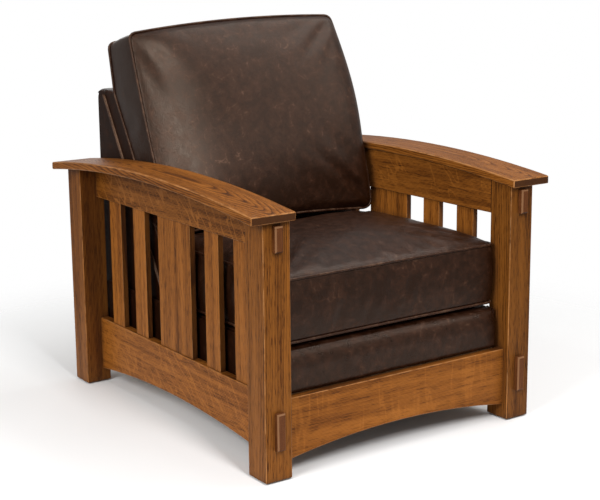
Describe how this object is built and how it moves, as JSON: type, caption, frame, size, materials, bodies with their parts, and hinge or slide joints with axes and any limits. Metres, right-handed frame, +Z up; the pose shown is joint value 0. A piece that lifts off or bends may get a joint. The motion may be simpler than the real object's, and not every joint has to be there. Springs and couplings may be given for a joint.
{
  "type": "armchair",
  "caption": "Mission style oak armchair with bowed arms, slatted sides and arched rails, loose leather seat and back cushions, and a padded back that reclines on hidden hinges.",
  "frame": {"origin": "on the floor, under the middle of the arms' outline", "axes": "+X to the right of someone facing the chair's front from ahead, +Y towards the rear, +Z up; the chair faces -Y"},
  "size_m": [0.808, 0.912, 0.897],
  "materials": {
    "oak": "satin brown stain",
    "end_grain_oak": "satin brown stain on end grain",
    "inner_wood": "unfinished",
    "leather": "mottled semi-matt dark brown",
    "webbing": "woven black",
    "glide": "smooth",
    "steel": "zinc plated"
  },
  "bodies": {
    "frame": {"arm_dowels": "oak", "base_plate_screws": "steel", "deck_front_band": "leather", "deck_pad": "leather", "dust_cover": "webbing", "floor_glides": "glide", "front_left_post": "oak", "front_rail": "oak", "front_right_post": "oak", "hinge_pins": "steel", "left_arm": "oak", "left_hinge_base": "steel", "left_lower_rail": "oak", "left_side_panel": "leather", "left_slat_1": "oak", "left_slat_2": "oak", "left_slat_3": "oak", "left_slat_4": "oak", "left_upper_rail": "oak", "left_wide_slat": "oak", "rear_left_post": "oak", "rear_rail": "oak", "rear_right_post": "oak", "right_arm": "oak", "right_hinge_base": "steel", "right_lower_rail": "oak", "right_side_panel": "leather", "right_slat_1": "oak", "right_slat_2": "oak", "right_slat_3": "oak", "right_slat_4": "oak", "right_upper_rail": "oak", "right_wide_slat": "oak", "seat_cleats": "inner_wood", "seat_corner_blocks": "inner_wood", "seat_front_board": "inner_wood", "seat_left_board": "inner_wood", "seat_rear_board": "inner_wood", "seat_right_board": "inner_wood", "seat_screws": "steel", "seat_webbing": "webbing", "tenon_keys": "end_grain_oak"},
    "back": {"arm_plate_screws": "steel", "back_base_board": "inner_wood", "back_bottom_rail": "inner_wood", "back_pad": "leather", "back_rear_rail": "inner_wood", "back_struts": "inner_wood", "back_top_rail": "inner_wood", "back_webbing": "webbing", "hinge_pawls": "steel", "left_back_side": "leather", "left_back_stile": "inner_wood", "left_hinge_arm": "steel", "outside_back": "leather", "right_back_side": "leather", "right_back_stile": "inner_wood", "right_hinge_arm": "steel"},
    "seat_cushion": {"seat_cushion": "leather"},
    "back_cushion": {"back_cushion": "leather"}
  },
  "joints": [
    {"name": "back_recline", "type": "hinge", "parent": "frame", "child": "back", "pos_m": [0, 0.114, 0.225], "axis": [-1, 0, 0], "range_deg": [0, 15]},
    {"name": "seat_cushion_slide", "type": "slide", "parent": "frame", "child": "seat_cushion", "axis": [0, -1, 0], "range_m": [0, 0.5]},
    {"name": "back_cushion_slide", "type": "slide", "parent": "back", "child": "back_cushion", "axis": [0, 0.515, 0.8572], "range_m": [0, 0.35]}
  ]
}
